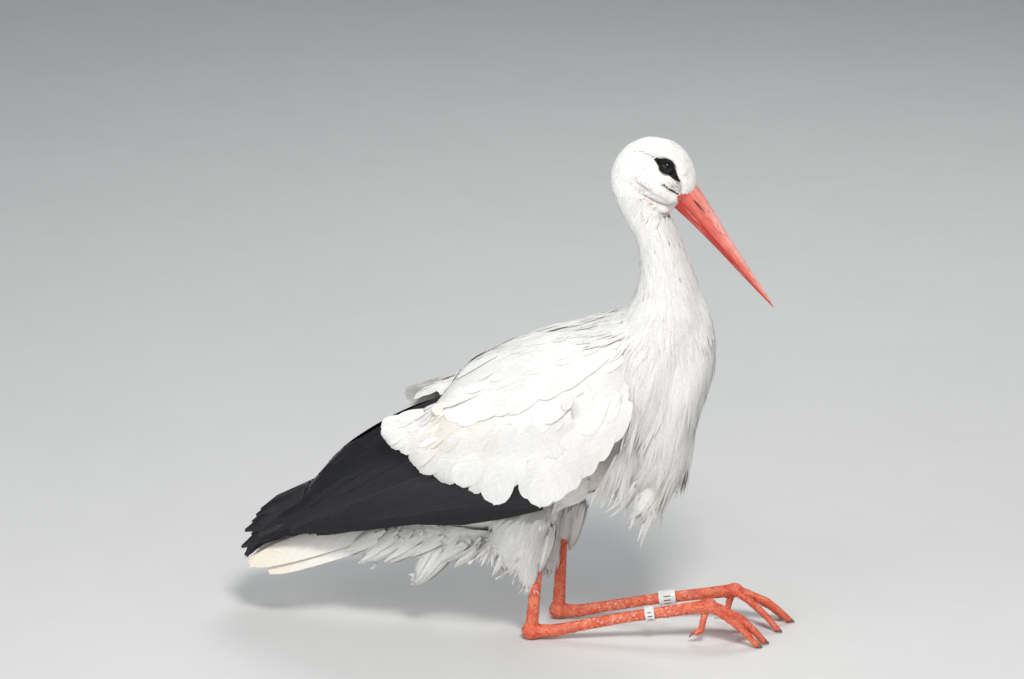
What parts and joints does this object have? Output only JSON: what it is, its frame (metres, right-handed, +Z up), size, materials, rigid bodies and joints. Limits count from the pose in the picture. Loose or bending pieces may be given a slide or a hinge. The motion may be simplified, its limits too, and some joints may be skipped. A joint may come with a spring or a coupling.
{
  "type": "white stork, still life-size model",
  "caption": "Life-size still model of an adult white stork resting on its hocks with the shins laid forward and the wings folded.",
  "frame": {"origin": "middle of the bird's footprint box, on the floor", "axes": "+X the way the bird faces, +Y its left, +Z up"},
  "size_m": [0.6564, 0.2338, 0.612],
  "materials": {
    "white_plumage": "white contour feathers, matt",
    "feathered_body": "skin under short white feathers, matt",
    "black_plumage": "black flight feathers with a faint gloss",
    "bill": "red horn, satin",
    "leg_skin": "red scaly skin with a pale chalky wash",
    "claw": "brown horn, satin",
    "eye": "dark brown, wet gloss",
    "leg_band": "plain pale ring"
  },
  "bodies": {
    "root": {"head": "feathered_body", "neck_upper": "feathered_body", "neck_lower": "feathered_body", "trunk": "feathered_body", "breast_plumes": "white_plumage", "tail": "white_plumage", "vent_feathers": "white_plumage", "bill_upper": "bill", "bill_lower": "bill", "eye_right": "eye", "wing_right_scapulars": "white_plumage", "wing_right_coverts": "white_plumage", "wing_right_tertials": "black_plumage", "wing_right_secondaries": "black_plumage", "wing_right_primaries": "black_plumage", "thigh_right": "feathered_body", "hock_right": "leg_skin", "tarsus_right": "leg_skin", "tibia_right": "leg_skin", "foot_right": "leg_skin", "leg_band_right": "leg_band", "toe_middle_right": "leg_skin", "claw_middle_right": "claw", "toe_outer_right": "leg_skin", "claw_outer_right": "claw", "toe_inner_right": "leg_skin", "claw_inner_right": "claw", "toe_hind_right": "leg_skin", "claw_hind_right": "claw", "eye_left": "eye", "wing_left_scapulars": "white_plumage", "wing_left_coverts": "white_plumage", "wing_left_tertials": "black_plumage", "wing_left_secondaries": "black_plumage", "wing_left_primaries": "black_plumage", "thigh_left": "feathered_body", "hock_left": "leg_skin", "tarsus_left": "leg_skin", "tibia_left": "leg_skin", "foot_left": "leg_skin", "leg_band_left": "leg_band", "toe_middle_left": "leg_skin", "claw_middle_left": "claw", "toe_outer_left": "leg_skin", "claw_outer_left": "claw", "toe_inner_left": "leg_skin", "claw_inner_left": "claw", "toe_hind_left": "leg_skin", "claw_hind_left": "claw"}
  },
  "joints": []
}
